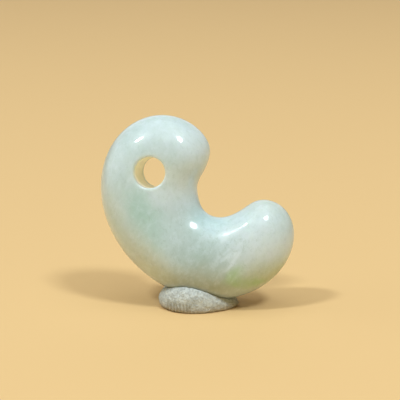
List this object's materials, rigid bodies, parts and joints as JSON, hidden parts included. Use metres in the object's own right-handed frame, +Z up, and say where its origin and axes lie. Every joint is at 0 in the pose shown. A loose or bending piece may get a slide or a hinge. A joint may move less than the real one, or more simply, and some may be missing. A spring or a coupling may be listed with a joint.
{
  "type": "jade magatama",
  "caption": "Comma-shaped jade bead with a cord hole through its head, standing in a lump of grey putty pressed under its belly.",
  "frame": {"origin": "on the surface that the putty stands on, under the middle of the whole part", "axes": "+Z up, +X from the head's side to the tail's side, -Y out of the broad face that the picture shows"},
  "size_m": [0.0266, 0.0124, 0.0257],
  "materials": {
    "jade": "polished pale bluish-green stone, slightly translucent, with soft green, white and tan clouds",
    "putty": "matt light grey putty with faint fingerprint ridges"
  },
  "bodies": {
    "root": {"magatama": "jade", "putty_cradle": "putty"}
  },
  "joints": []
}
